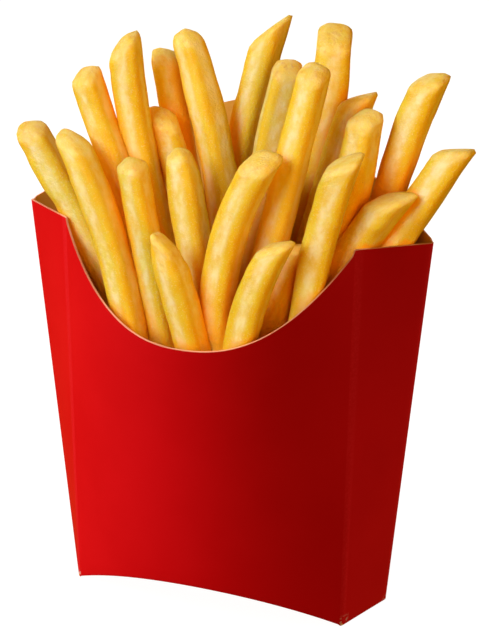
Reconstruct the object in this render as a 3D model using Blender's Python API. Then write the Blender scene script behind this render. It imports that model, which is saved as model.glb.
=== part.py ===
"""French fries in a folded-board carton: metres, +Z up, standing on the board's two narrow sides.

The carton is one folded sheet: a bulging front with a scooped top edge, two narrow sides that
splay out to a taller arched back, and an arched base. The fries are one bundle: a packed body that
fills the carton, and each fry that stands out of it. Everything is laid out round the carton's own
plane of symmetry, and is then moved so that the origin lies under the middle of the whole.
"""

import math
import random
from typing import Callable, NamedTuple

import bmesh
import bpy
from mathutils import Matrix, Vector

MM = 0.001

# The carton. A pair holds the value at the base and the value at the height of the folds.
FOLD_HEIGHT = 106.5 * MM
BACK_CORNER_HEIGHT = 105.5 * MM
FRONT_HALF_WIDTH = (38.4 * MM, 38.6 * MM)
BACK_HALF_WIDTH = (47.0 * MM, 55.0 * MM)
FRONT_FOLD_Y = (-10.3 * MM, -6.8 * MM)
BACK_CORNER_Y = (5.9 * MM, 6.5 * MM)
FRONT_BULGE = (10.5 * MM, 19.8 * MM)
BACK_BULGE = (8.0 * MM, 21.0 * MM)
SCOOP_HEIGHT = 82.4 * MM
SCOOP_POWER = 2.5
BACK_PEAK_HEIGHT = 131.5 * MM
BACK_ARCH_POWERS = (1.45, 1.1)
BASE_RISE = 11.6 * MM
BOARD = 0.5 * MM
GAP = 0.3 * MM

# How finely the sheet is divided.
PANEL_COLUMNS = 24
SIDE_COLUMNS = 3
WALL_ROWS = 8

# The packed body of fries, whose top slopes up from the scoop to the back.
PACKED_FRONT_HEIGHT = 76.0 * MM
PACKED_BACK_HEIGHT = 92.0 * MM
PACKED_INSET = BOARD + GAP + 0.1 * MM

# Every fry is followed from here, well inside the packed body.
FOOT_HEIGHT = 62.0 * MM
CORNER_CUT = 0.3
END_ROUNDING = 1.2 * MM
RING_SHARES = (0.0, 0.35, 0.65, 0.85)
LAST_RING_SHARE = 0.85

# The rows behind, which lie as they fell: (first x, distance from the back panel, how many).
BACK_ROWS = ((-34.0, 16.0, 8), (-34.0, 7.0, 7))
BACK_ROW_STEP = 10.0
BACK_ROW_STRAY = 1.5
BACK_ROW_HEIGHT = 106.0
BACK_ROW_HEIGHT_STRAY = 6.0
BACK_ROW_FALL = 0.2  # how much lower each is for its distance from the middle
BACK_ROW_FOOT_SHARE = 0.75  # how far from the middle each foot is, as a share of its tip's distance
BACK_ROW_WIDTH = 7.5
BACK_ROW_ANGLE = 30.0
BACK_ROW_SEED = 5

# From the carton's plane of symmetry to the middle of the whole.
MIDDLE = Vector((3.5 * MM, 2.5 * MM, 0.0))


class Fry(NamedTuple):
    """One fry, in millimetres and degrees.

    foot is where its middle line crosses FOOT_HEIGHT, and tip is the middle of its free end. bow is
    how far it bends towards +X between them, turn is how far its square section is turned, slant is
    how far its end is cut off square (positive leaves the +X side longer), and taper is the end's
    width as a share of the fry's.
    """

    foot: tuple[float, float]
    tip: tuple[float, float, float]
    width: float
    bow: float = 0.0
    turn: float = 0.0
    slant: float = 0.0
    taper: float = 0.95


FRIES = (
    # The front row, which leans on the scooped edge, from left to right.
    Fry((-16, -15), (-33, -13, 130.7), 7.7, bow=3.5, turn=-13, slant=-42, taper=0.9),
    Fry((3.9, -17), (-5.4, -22, 109), 7.7, turn=-13, slant=-50, taper=0.65),
    Fry((7.5, -12.5), (17.5, -15, 130.4), 7.9, bow=-7, turn=-10, slant=26),
    Fry((11, -16.5), (22, -19, 110.2), 7.6, bow=-3.6, turn=-8, slant=45, taper=0.9),
    Fry((13.5, -9), (23, -5, 105), 6.5, bow=-0.5, turn=-20, slant=20),
    Fry((25, -9.5), (35.6, -10, 129.8), 8.1, bow=-3, turn=3, slant=40),
    # The second row.
    Fry((-8, -10), (-18, -11, 124.7), 7.0, turn=-13, slant=-10),
    Fry((0.5, -8.5), (-7.6, -6, 127.4), 8.1, bow=1, turn=-5, taper=0.7),
    Fry((2.5, -3), (15.5, 1, 123), 7.5, bow=-1, turn=10),
    Fry((7, -7.5), (26.3, -4, 149.6), 7.4, turn=-12),
    Fry((13.5, -6.5), (45.2, 0, 118.7), 8.3, bow=-1, turn=-27, slant=44),
    # The third row.
    Fry((-11.7, -7), (-51.5, 1, 128.2), 8.2, bow=0.7, turn=5, slant=-24),
    Fry((0.7, -5), (-33, -3, 144.3), 7.6, bow=-2, turn=-15, slant=5),
    Fry((-1.5, 2), (-23.6, 0, 152.4), 7.8, bow=-4.2, slant=32),
    Fry((-1.6, 6), (-16.4, 6, 132.6), 7.3, bow=1.5, turn=10, slant=-35),
    Fry((9, 4.5), (16.7, 8, 147.3), 7.3, bow=-4, turn=25),
    Fry((17, 5.5), (33.4, 11, 139.1), 7.9, bow=-2, turn=-10, slant=36),
    Fry((11.5, 2.5), (37.2, 3, 137.6), 8.1, bow=4.5, turn=-25, slant=12),
    Fry((26, -5.5), (58.1, 10, 128.2), 8.4, bow=-1.5, turn=-10, slant=36),
    # The tall ones at the back.
    Fry((-2.5, 14), (-18.9, 15, 145.9), 7.4, bow=-0.5, turn=15, slant=-24),
    Fry((-0.5, 8.5), (-12, 12, 152.7), 7.9, bow=5, turn=-28, slant=-18, taper=0.82),
    Fry((-14, 13.5), (7.2, 23, 152.2), 7.5, turn=-18, slant=51),
    Fry((11.5, 13), (26.2, 14.5, 154.4), 9.1, bow=2, turn=15, slant=-8),
    Fry((36, 6.5), (50.8, 12.5, 145.4), 8.0, bow=-4, turn=-12, slant=30),
)


def between(pair: tuple[float, float], share: float) -> float:
    """The value this share of the way from the first of a pair to the second."""
    return pair[0] + (pair[1] - pair[0]) * share


def front_point(across: float, height: float) -> Vector:
    """A point of the front panel's outer face; across runs from -1 to 1 between the folds."""
    share = height / FOLD_HEIGHT
    bulge = between(FRONT_BULGE, share) * (1 - across**2)
    return Vector((across * between(FRONT_HALF_WIDTH, share), between(FRONT_FOLD_Y, share) - bulge, height))


def back_point(across: float, height: float) -> Vector:
    """A point of the back panel's outer face; across runs from -1 to 1 between its corners."""
    share = height / FOLD_HEIGHT
    bulge = between(BACK_BULGE, share) * (1 - across**2)
    return Vector((across * between(BACK_HALF_WIDTH, share), between(BACK_CORNER_Y, share) + bulge, height))


def base_height(across: float) -> float:
    """The height of the base, which arches up between the two sides."""
    return BASE_RISE * (1 - across**2)


def front_rim(across: float) -> float:
    """The height of the front panel's scooped edge."""
    return FOLD_HEIGHT - (FOLD_HEIGHT - SCOOP_HEIGHT) * (1 - abs(across) ** SCOOP_POWER)


def back_rim(across: float) -> float:
    """The height of the back panel's arched edge."""
    inner, outer = BACK_ARCH_POWERS
    rise = BACK_PEAK_HEIGHT - BACK_CORNER_HEIGHT
    return BACK_CORNER_HEIGHT + rise * (1 - abs(across) ** inner) ** outer


class Column(NamedTuple):
    """One upright line of the sheet: its place across the whole, its way to the back, and its rim."""

    across: float
    depth: float
    rim: float

    def point(self, height: float) -> Vector:
        """Where this column is at a height: the front is depth 0, the back is depth 1."""
        front = front_point(self.across, height)
        return front.lerp(back_point(self.across, height), self.depth)


def columns_round(rim_at: Callable[[float, float], float]) -> list[Column]:
    """The columns all the way round, anticlockwise from the front left fold."""
    steps = [2 * i / PANEL_COLUMNS - 1 for i in range(PANEL_COLUMNS)]
    depths = [i / SIDE_COLUMNS for i in range(SIDE_COLUMNS)]
    places = [(across, 0.0) for across in steps]
    places += [(1.0, depth) for depth in depths]
    places += [(-across, 1.0) for across in steps]
    places += [(-1.0, 1 - depth) for depth in depths]
    return [Column(across, depth, rim_at(across, depth)) for across, depth in places]


def carton_rim(across: float, depth: float) -> float:
    """The height of the carton's open edge."""
    if depth == 0:
        return front_rim(across)
    if depth == 1:
        return back_rim(across)
    return between((FOLD_HEIGHT, BACK_CORNER_HEIGHT), depth)


def packed_rim(across: float, depth: float) -> float:
    """The height that the packed body reaches at the walls."""
    return between((PACKED_FRONT_HEIGHT, PACKED_BACK_HEIGHT), depth)


def fill_between(bm: bmesh.types.BMesh, ring: list, height_of: Callable, upward: bool) -> None:
    """Closes a ring of the sheet's vertices with a grid of faces that runs from front to back."""
    back_start = PANEL_COLUMNS + SIDE_COLUMNS
    rows = []
    for i in range(PANEL_COLUMNS + 1):
        across = 2 * i / PANEL_COLUMNS - 1
        row = [ring[i]]
        for step in range(1, SIDE_COLUMNS):
            depth = step / SIDE_COLUMNS
            if i == 0:
                row.append(ring[-step])
            elif i == PANEL_COLUMNS:
                row.append(ring[PANEL_COLUMNS + step])
            else:
                place = Column(across, depth, 0.0).point(height_of(across, depth))
                row.append(bm.verts.new(place))
        row.append(ring[(back_start + PANEL_COLUMNS - i) % len(ring)])
        rows.append(row)
    for left, right in zip(rows, rows[1:]):
        for step in range(SIDE_COLUMNS):
            corners = (left[step], right[step], right[step + 1], left[step + 1])
            bm.faces.new(corners if upward else corners[::-1])


def pocket(rim_at: Callable[[float, float], float], lidded: bool) -> bmesh.types.BMesh:
    """The carton's outer skin up to a rim: open at the top, or closed with a lid."""
    bm = bmesh.new()
    columns = columns_round(rim_at)
    rings = []
    for row in range(WALL_ROWS + 1):
        share = row / WALL_ROWS
        heights = [between((base_height(c.across), c.rim), share) for c in columns]
        rings.append([bm.verts.new(c.point(height)) for c, height in zip(columns, heights)])
    for lower, upper in zip(rings, rings[1:]):
        for i in range(len(columns)):
            j = (i + 1) % len(columns)
            bm.faces.new((lower[i], lower[j], upper[j], upper[i]))
    fill_between(bm, rings[0], lambda across, depth: base_height(across), upward=False)
    if lidded:
        fill_between(bm, rings[-1], rim_at, upward=True)
    return bm


def board_sheet(name: str, inward: float, outward: float, rim_extra: float) -> bpy.types.Object:
    """The carton's skin given a thickness inwards and outwards, and a rim raised by rim_extra."""
    bm = pocket(lambda across, depth: carton_rim(across, depth) + rim_extra, lidded=False)
    sheet = add_object(name, bm)
    solidify = sheet.modifiers.new("board", "SOLIDIFY")
    solidify.thickness = inward + outward
    solidify.offset = (outward - inward) / (inward + outward)
    solidify.use_even_offset = True
    solidify.use_quality_normals = True
    return sheet


def section(half: float, turn: float) -> list[Vector]:
    """A square with its corners cut off, turned about its middle."""
    short = half * (1 - CORNER_CUT)
    corners = []
    for quarter in range(4):
        spin = Matrix.Rotation(turn + quarter * math.pi / 2, 2)
        corners.append(spin @ Vector((half, -short)))
        corners.append(spin @ Vector((half, short)))
    return corners


def fry_mesh(fry: Fry) -> bmesh.types.BMesh:
    """One fry as rings of its section along a bowed middle line, with a slanted, rounded end."""
    foot = Vector((*fry.foot, 0)) * MM + Vector((0, 0, FOOT_HEIGHT))
    tip = Vector(fry.tip) * MM
    chord = tip - foot
    sideways = Vector((chord.z, 0, -chord.x)).normalized()
    slope = math.tan(math.radians(fry.slant))
    half = fry.width * MM / 2
    end_share = 1 - END_ROUNDING / chord.length
    rings = [(share, half, 0.0) for share in RING_SHARES]
    rings += [(end_share, half * (1 + fry.taper) / 2, slope), (1.0, half * fry.taper * LAST_RING_SHARE, slope)]
    bm = bmesh.new()
    made = []
    for share, size, lean in rings:
        middle = foot + chord * share + sideways * (4 * fry.bow * MM * share * (1 - share))
        along = (chord + sideways * (4 * fry.bow * MM * (1 - 2 * share))).normalized()
        right = Vector((0, 1, 0)).cross(along).normalized()
        away = along.cross(right)
        corners = section(size, math.radians(fry.turn))
        made.append([bm.verts.new(middle + right * c.x + away * c.y + along * c.x * lean) for c in corners])
    for lower, upper in zip(made, made[1:]):
        for i in range(len(lower)):
            j = (i + 1) % len(lower)
            bm.faces.new((lower[i], lower[j], upper[j], upper[i]))
    bm.faces.new(made[0][::-1])
    bm.faces.new(made[-1])
    return bm


def back_place(x: float, height: float, clearance: float) -> tuple[float, float, float]:
    """A place in millimetres this far in front of the back panel."""
    half_width = between(BACK_HALF_WIDTH, height * MM / FOLD_HEIGHT)
    wall = back_point(x * MM / half_width, height * MM)
    return (x, wall.y / MM - clearance, height)


def back_fries() -> list[Fry]:
    """The shorter fries behind, in rows that follow the back panel, each a little out of line."""
    chance = random.Random(BACK_ROW_SEED)
    fries = []
    for first, clearance, count in BACK_ROWS:
        for i in range(count):
            sideways, upwards, at_foot = [chance.uniform(-1, 1) for _ in range(3)]
            turn, slant = [chance.uniform(-BACK_ROW_ANGLE, BACK_ROW_ANGLE) for _ in range(2)]
            x = first + i * BACK_ROW_STEP + BACK_ROW_STRAY * sideways
            height = BACK_ROW_HEIGHT + BACK_ROW_HEIGHT_STRAY * upwards - BACK_ROW_FALL * abs(x)
            tip = back_place(x, height, clearance)
            foot_x = BACK_ROW_FOOT_SHARE * x + BACK_ROW_STRAY * at_foot
            foot = back_place(foot_x, FOOT_HEIGHT / MM, clearance)
            fries.append(Fry(foot[:2], tip, BACK_ROW_WIDTH, turn=turn, slant=slant))
    return fries


def material(name: str, colour: tuple[float, float, float], roughness: float) -> bpy.types.Material:
    """A plain non-metallic Principled material."""
    made = bpy.data.materials.new(name)
    made.use_nodes = True
    made.diffuse_color = (*colour, 1)
    shader = made.node_tree.nodes["Principled BSDF"]
    shader.inputs["Base Color"].default_value = (*colour, 1)
    shader.inputs["Roughness"].default_value = roughness
    shader.inputs["Metallic"].default_value = 0.0
    return made


def add_object(name: str, bm: bmesh.types.BMesh) -> bpy.types.Object:
    """Turns a bmesh into an object of the scene."""
    mesh = bpy.data.meshes.new(name)
    bm.to_mesh(mesh)
    bm.free()
    made = bpy.data.objects.new(name, mesh)
    bpy.context.scene.collection.objects.link(made)
    return made


def add_helper(obj: bpy.types.Object) -> bpy.types.Object:
    """Marks an object as one that only shapes others."""
    obj.hide_render = True
    obj.display_type = "WIRE"
    return obj


def add_carton() -> bpy.types.Object:
    """The folded board: red outside, golden inside, with its pale core along the cut edge."""
    carton = board_sheet("carton", inward=BOARD, outward=0.0, rim_extra=0.0)
    carton.data.materials.append(material("board_red", (0.58, 0.005, 0.01), 0.45))
    carton.data.materials.append(material("board_gold", (0.65, 0.38, 0.06), 0.6))
    carton.data.materials.append(material("board_core", (0.85, 0.6, 0.5), 0.8))
    carton.modifiers["board"].material_offset = 1
    carton.modifiers["board"].material_offset_rim = 2
    return carton


def add_fries() -> bpy.types.Object:
    """The bundle: the packed body joined with every fry, kept clear of the board."""
    body = pocket(packed_rim, lidded=True)
    body.normal_update()
    for vertex, shift in [(v, v.normal * v.calc_shell_factor() * PACKED_INSET) for v in body.verts]:
        vertex.co -= shift
    bundle = add_object("fries", body)
    bundle.data.materials.append(material("fried_potato", (0.83, 0.53, 0.11), 0.5))
    sticks = bpy.data.collections.new("fry_sticks")
    bpy.context.scene.collection.children.link(sticks)
    for number, fry in enumerate([*FRIES, *back_fries()]):
        stick = add_helper(add_object(f"fry_stick_{number}", fry_mesh(fry)))
        bpy.context.scene.collection.objects.unlink(stick)
        sticks.objects.link(stick)
    joined = bundle.modifiers.new("join", "BOOLEAN")
    joined.operation = "UNION"
    joined.operand_type = "COLLECTION"
    joined.collection = sticks
    clear = bundle.modifiers.new("clear_of_board", "BOOLEAN")
    clear.operation = "DIFFERENCE"
    clear.object = add_helper(board_sheet("clearance", inward=BOARD + GAP, outward=GAP, rim_extra=GAP))
    return bundle


def main() -> None:
    """Builds the carton and its fries in an empty scene."""
    for obj in list(bpy.data.objects):
        bpy.data.objects.remove(obj)
    add_carton()
    add_fries()
    middle = bpy.data.objects.new("middle", None)
    bpy.context.scene.collection.objects.link(middle)
    middle.location = -MIDDLE
    for obj in bpy.data.objects:
        if obj is not middle:
            obj.parent = middle


if __name__ == "__main__":
    main()
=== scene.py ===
"""French fries standing in a folded board carton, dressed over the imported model.

The carton is one thin sheet: a bulging front with a scooped edge, two narrow sides that splay out to
a taller arched back, and an arched base. It is printed red outside and golden inside. The fries are
real bars of fried potato over a smaller packed core. Lengths are in metres unless a name says
otherwise, and everything is laid out round the carton's own plane of symmetry before it is moved
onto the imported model.
"""

import logging
import math
import random
from dataclasses import dataclass
from enum import Enum
from functools import reduce
from typing import Any, Iterable

import bmesh
import bpy
import numpy as np
from bmesh.types import BMesh
from bpy.types import Collection, Material, Mesh, Node, NodeSocket, NodeTree, Object
from mathutils import Matrix, Quaternion, Vector
from mathutils.bvhtree import BVHTree
from mathutils.noise import noise as smooth_noise


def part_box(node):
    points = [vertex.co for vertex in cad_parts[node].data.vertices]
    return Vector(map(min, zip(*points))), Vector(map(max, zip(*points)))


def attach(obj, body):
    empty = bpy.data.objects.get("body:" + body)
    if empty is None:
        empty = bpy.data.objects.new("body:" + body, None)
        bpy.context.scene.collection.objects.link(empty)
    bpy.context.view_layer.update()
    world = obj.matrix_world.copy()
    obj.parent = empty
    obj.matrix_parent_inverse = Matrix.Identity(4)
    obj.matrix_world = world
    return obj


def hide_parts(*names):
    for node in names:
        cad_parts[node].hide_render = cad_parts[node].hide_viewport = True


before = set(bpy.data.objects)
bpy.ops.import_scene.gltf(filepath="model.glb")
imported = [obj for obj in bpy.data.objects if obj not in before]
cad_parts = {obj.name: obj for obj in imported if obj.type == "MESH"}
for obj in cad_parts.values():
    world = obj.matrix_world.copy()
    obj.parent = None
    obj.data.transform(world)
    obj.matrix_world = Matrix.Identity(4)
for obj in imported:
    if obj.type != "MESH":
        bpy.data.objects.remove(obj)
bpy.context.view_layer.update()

MM = 0.001
SAME_POINT = 0.005 * MM
BODY = "root"
Pair = tuple[float, float]
Colour = tuple[float, float, float]
Place = tuple[float, float, float]
# Where a value starts and stops to count, then the results at those two ends (0 and 1 if left out).
Band = tuple[Any, ...]
# How many features a pattern has in a metre, and how many finer layers it has.
Pattern = tuple[float, float]
# Patterns and dents are longer along a fry than across it.
LENGTHWISE = (1.0, 1.0, 0.6)
# The bar that every fry is shaped from stands one unit high about its middle.
HALF_BAR = 0.5
# What smooth noise averages, and what keeps a division or a power away from nought.
MEAN = 0.5
TINY = 1e-4

log = logging.getLogger("fries")


class Stock(Enum):
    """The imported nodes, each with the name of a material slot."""

    CARTON = ("carton", "carton_board")
    FRIES = ("fries", "fried_potato")

    @property
    def node(self) -> str:
        """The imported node's name."""
        return self.value[0]

    @property
    def slot(self) -> str:
        """The material slot's name."""
        return self.value[1]


class Receiver(Enum):
    """What a lamp lights."""

    BOARD = "board"
    FOOD = "food"


class Face(Enum):
    """The faces of the board, in the order of its material slots."""

    OUTSIDE = 0
    INSIDE = 1
    CUT = 2


def between(pair: Pair, share: float) -> float:
    """The value this share of the way from the first of a pair to the second."""
    return pair[0] + (pair[1] - pair[0]) * share


def new_object(name: str, mesh: Mesh) -> Object:
    """Links a new object that holds a mesh.

    Args:
        name: The piece's name.
        mesh: Its mesh, already in place.

    Returns:
        The object, at the origin.
    """
    made = bpy.data.objects.new(name, mesh)
    bpy.context.scene.collection.objects.link(made)
    return made


def made_real(name: str, source: Object) -> Object:
    """Turns an object with live modifiers into a plain mesh piece.

    Args:
        name: The new piece's name.
        source: The object to evaluate, which is removed.

    Returns:
        The plain piece.
    """
    graph = bpy.context.evaluated_depsgraph_get()
    live = source.evaluated_get(graph)
    mesh = bpy.data.meshes.new_from_object(live, preserve_all_data_layers=True, depsgraph=graph)
    mesh.name = name
    bpy.data.objects.remove(source)
    return new_object(name, mesh)


def mesh_of(bm: BMesh, name: str, move: Vector) -> Mesh:
    """Makes a mesh of faces that share their points and are all turned outwards.

    Args:
        bm: The faces, which are used up.
        name: The mesh's name.
        move: How far the mesh is moved.

    Returns:
        The mesh.
    """
    bmesh.ops.remove_doubles(bm, verts=bm.verts, dist=SAME_POINT)
    bmesh.ops.recalc_face_normals(bm, faces=bm.faces)
    mesh = bpy.data.meshes.new(name)
    bm.to_mesh(mesh)
    bm.free()
    mesh.transform(Matrix.Translation(move))
    return mesh


def wrap(bm: BMesh, rings: list[list]) -> None:
    """Joins each closed ring of vertices to the next with faces.

    Args:
        bm: The mesh.
        rings: The rings, from the lowest up.
    """
    for lower, upper in zip(rings, rings[1:]):
        for i in range(len(lower)):
            j = (i + 1) % len(lower)
            bm.faces.new((lower[i], lower[j], upper[j], upper[i]))


def pave(bm: BMesh, rows: list[list]) -> None:
    """Joins each open row of vertices to the next with faces.

    Args:
        bm: The mesh.
        rows: The rows, all of one length.
    """
    for one, other in zip(rows, rows[1:]):
        for i in range(len(one) - 1):
            bm.faces.new((one[i], one[i + 1], other[i + 1], other[i]))


class NodeBench:
    """Adds nodes to one tree, and feeds each input from a plain value or from another node."""

    def __init__(self, tree: NodeTree) -> None:
        """Works on a tree."""
        self.tree = tree

    def feed(self, socket: NodeSocket, value: Any) -> None:
        """Gives an input its value.

        Args:
            socket: The input.
            value: A socket to link from, or a plain value for the input's own field.
        """
        if isinstance(value, NodeSocket):
            self.tree.links.new(value, socket)
        else:
            socket.default_value = value

    def fill(self, node: Node, inputs: dict[Any, Any]) -> None:
        """Feeds a node's inputs, by name or by number."""
        for key, value in inputs.items():
            self.feed(node.inputs[key], value)

    def add(self, kind: str, inputs: dict[Any, Any] | None = None, **settings: Any) -> Node:
        """Adds one node.

        Args:
            kind: The node's type name.
            inputs: What feeds its inputs, by name or by number.
            **settings: The node's own settings.

        Returns:
            The node.
        """
        node = self.tree.nodes.new(kind)
        for name, value in settings.items():
            setattr(node, name, value)
        self.fill(node, inputs or {})
        return node

    def math(self, operation: str, *values: Any, clamp: bool = False) -> NodeSocket:
        """The result of one Math node.

        Args:
            operation: The node's operation.
            *values: Its inputs in order.
            clamp: Whether the result is kept between 0 and 1.

        Returns:
            The result.
        """
        inputs = dict(enumerate(values))
        return self.add("ShaderNodeMath", inputs, operation=operation, use_clamp=clamp).outputs[0]

    def plus(self, first: Any, second: Any) -> NodeSocket:
        """The sum of two numbers."""
        return self.math("ADD", first, second)

    def minus(self, first: Any, second: Any) -> NodeSocket:
        """The first number less the second."""
        return self.math("SUBTRACT", first, second)

    def times(self, *values: Any) -> NodeSocket:
        """The product of some numbers, from left to right."""
        return reduce(lambda product, value: self.math("MULTIPLY", product, value), values)

    def over(self, first: Any, second: Any) -> NodeSocket:
        """The first number divided by the second."""
        return self.math("DIVIDE", first, second)

    def scaled(self, value: Any, factor: Any, shift: Any) -> NodeSocket:
        """A number times a factor, with a shift added."""
        return self.math("MULTIPLY_ADD", value, factor, shift)

    def size_to(self, value: Any, power: Any) -> NodeSocket:
        """The size of a number, without its sign, raised to a power."""
        return self.math("POWER", self.math("ABSOLUTE", value), power)

    def vector(self, operation: str, *values: Any) -> NodeSocket:
        """The vector that one Vector Math node gives from its vector inputs."""
        inputs = dict(enumerate(values))
        return self.add("ShaderNodeVectorMath", inputs, operation=operation).outputs["Vector"]

    def length(self, value: Any) -> NodeSocket:
        """The length of a vector."""
        return self.add("ShaderNodeVectorMath", {0: value}, operation="LENGTH").outputs["Value"]

    def sum(self, *values: Any) -> NodeSocket:
        """The sum of some vectors, from left to right."""
        return reduce(lambda total, value: self.vector("ADD", total, value), values)

    def stretched(self, value: Any, factor: Any) -> NodeSocket:
        """A vector times a number."""
        inputs = {0: value, "Scale": factor}
        return self.add("ShaderNodeVectorMath", inputs, operation="SCALE").outputs["Vector"]

    def xyz(self, x: Any = 0.0, y: Any = 0.0, z: Any = 0.0) -> NodeSocket:
        """A vector put together from three numbers."""
        return self.add("ShaderNodeCombineXYZ", {"X": x, "Y": y, "Z": z}).outputs[0]

    def parts(self, value: Any) -> Any:
        """The three numbers of a vector."""
        return self.add("ShaderNodeSeparateXYZ", {0: value}).outputs

    def noise(self, place: Any, pattern: Pattern, output: str = "Fac") -> NodeSocket:
        """Smooth noise at a place: Fac is a number about one half, and Color is three of them."""
        inputs = {"Vector": place, "Scale": pattern[0], "Detail": pattern[1]}
        return self.add("ShaderNodeTexNoise", inputs).outputs[output]

    def band(self, value: Any, ends: Band) -> NodeSocket:
        """A value eased from one range onto another.

        Args:
            value: The value.
            ends: Where the result starts and stops to change, and the results there.

        Returns:
            The eased value.
        """
        names = ("From Min", "From Max", "To Min", "To Max")
        inputs = {"Value": value, **dict(zip(names, (*ends, 0.0, 1.0)))}
        return self.add("ShaderNodeMapRange", inputs, interpolation_type="SMOOTHSTEP").outputs["Result"]

    def mix(self, share: Any, first: Any, second: Any) -> NodeSocket:
        """One colour mixed into another.

        Args:
            share: How much of the second colour there is.
            first: The first colour, plain or from a node.
            second: The second colour.

        Returns:
            The mixed colour.
        """
        node = self.add("ShaderNodeMix", data_type="RGBA")
        for label, value in (("Factor", share), ("A", first), ("B", second)):
            wanted = "VALUE" if label == "Factor" else "RGBA"
            socket = next(s for s in node.inputs if s.name == label and s.type == wanted)
            self.feed(socket, (*value, 1.0) if isinstance(value, tuple) else value)
        return next(s for s in node.outputs if s.type == "RGBA")

    def coats(self, base: Colour, *coats: tuple[NodeSocket, Colour]) -> NodeSocket:
        """A colour with others laid over it in turn, each given with how much of it there is."""
        return reduce(lambda colour, coat: self.mix(coat[0], colour, coat[1]), coats, base)

    def grain(self, height: NodeSocket, strength: float, depth: float) -> NodeSocket:
        """A surface roughened by a height, which is counted up to a depth."""
        inputs = {"Strength": strength, "Distance": depth, "Height": height}
        return self.add("ShaderNodeBump", inputs).outputs[0]

    def painted(self, name: str, vector: bool = False) -> NodeSocket:
        """An attribute that the piece's mesh carries, for a material."""
        node = self.add("ShaderNodeAttribute", attribute_name=name, attribute_type="GEOMETRY")
        return node.outputs["Vector" if vector else "Fac"]

    def stored(self, name: str, vector: bool = False) -> NodeSocket:
        """An attribute as a field, for Geometry Nodes."""
        kind = "FLOAT_VECTOR" if vector else "FLOAT"
        node = self.add("GeometryNodeInputNamedAttribute", {"Name": name}, data_type=kind)
        return next(s for s in node.outputs if s.enabled)

    def store(self, geometry: Any, name: str, value: Any, vector: bool = False) -> NodeSocket:
        """Stores a field on a geometry's points.

        Args:
            geometry: The geometry.
            name: The attribute's name.
            value: The field.
            vector: Whether it is a vector, not a number.

        Returns:
            The geometry that carries it.
        """
        kind = "FLOAT_VECTOR" if vector else "FLOAT"
        inputs = {"Geometry": geometry, "Name": name, "Value": value}
        node = self.add("GeometryNodeStoreNamedAttribute", inputs, data_type=kind, domain="POINT")
        return node.outputs[0]


def new_material(name: str) -> tuple[Material, NodeBench, Node]:
    """A material with a Principled shader.

    Args:
        name: The material's name.

    Returns:
        The material, a bench for its tree, and its shader.
    """
    made = bpy.data.materials.new(name)
    made.use_nodes = True
    return made, NodeBench(made.node_tree), made.node_tree.nodes["Principled BSDF"]


@dataclass(frozen=True)
class PrintedBoard:
    """Satin red print on board, paler where it is folded, and down to the core at its edge and scuffs."""

    name: str = "red_print"
    red: Colour = (0.80, 0.0030, 0.0080)
    deep_red: Colour = (0.75, 0.0012, 0.0050)
    fold_red: Colour = (0.86, 0.014, 0.025)
    core: Colour = (0.95, 0.42, 0.28)
    bare: Colour = (0.95, 0.80, 0.74)
    bloom: Pattern = (28.0, 3.0)
    fibre: Pattern = (1600.0, 3.0)
    fleck: Pattern = (900.0, 2.0)
    deepened: Band = (0.35, 0.65)
    folded: Band = (0.5, 1.0)
    worn: Band = (0.35, 0.7, 0.25, 0.7)
    ragged: float = 0.16 * MM
    cut: Band = (0.05 * MM, 0.2 * MM, 0.85, 0.0)
    scuffed: Band = (0.5, 0.58)
    roughness: Band = (0.3, 0.7, 0.42, 0.54)
    specular: float = 0.06
    grain: Pair = (0.06, 0.05 * MM)

    def make(self) -> Material:
        """Builds the material, which reads the board's fold, below_rim and scuff attributes.

        Returns:
            The material.
        """
        made, bench, shader = new_material(self.name)
        place = bench.add("ShaderNodeTexCoord").outputs["Object"]
        bloom, fibre = bench.noise(place, self.bloom), bench.noise(place, self.fibre)
        flecks = bench.band(bench.noise(place, self.fleck), self.scuffed)
        folds = bench.band(bench.painted("fold"), self.folded)
        below_rim = bench.plus(bench.painted("below_rim"), -self.ragged * MEAN)
        colour = bench.coats(
            self.red,
            (bench.band(bloom, self.deepened), self.deep_red),
            (bench.times(folds, bench.band(fibre, self.worn)), self.fold_red),
            (bench.band(bench.scaled(fibre, self.ragged, below_rim), self.cut), self.core),
            (bench.times(bench.painted("scuff"), flecks), self.bare),
        )
        inputs = {"Base Color": colour, "Roughness": bench.band(bloom, self.roughness)}
        inputs |= {"Specular IOR Level": self.specular, "Normal": bench.grain(fibre, *self.grain)}
        bench.fill(shader, inputs)
        return made


@dataclass(frozen=True)
class PlainFinish:
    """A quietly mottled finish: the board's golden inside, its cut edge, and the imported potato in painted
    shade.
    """

    name: str
    light: Colour
    dark: Colour
    roughness: float = 0.62
    rough_spread: float = 0.06
    bloom: Pattern = (60.0, 3.0)
    fibre: Pattern = (1400.0, 3.0)
    bloomed: Band = (0.3, 0.7)
    fibred: Band = (0.2, 0.7, 0.5, 1.0)
    specular: float = 0.3
    grain: Pair = (0.1, 0.05 * MM)

    def make(self) -> Material:
        """Builds the material.

        Returns:
            The material.
        """
        made, bench, shader = new_material(self.name)
        place = bench.add("ShaderNodeTexCoord").outputs["Object"]
        bloom, fibre = bench.noise(place, self.bloom), bench.noise(place, self.fibre)
        share = bench.times(bench.band(bloom, self.bloomed), bench.band(fibre, self.fibred))
        colour = bench.mix(share, self.light, self.dark)
        rough = (*self.bloomed, self.roughness - self.rough_spread, self.roughness + self.rough_spread)
        inputs = {"Base Color": colour, "Roughness": bench.band(fibre, rough)}
        inputs |= {"Specular IOR Level": self.specular, "Normal": bench.grain(fibre, *self.grain)}
        bench.fill(shader, inputs)
        return made


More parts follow.
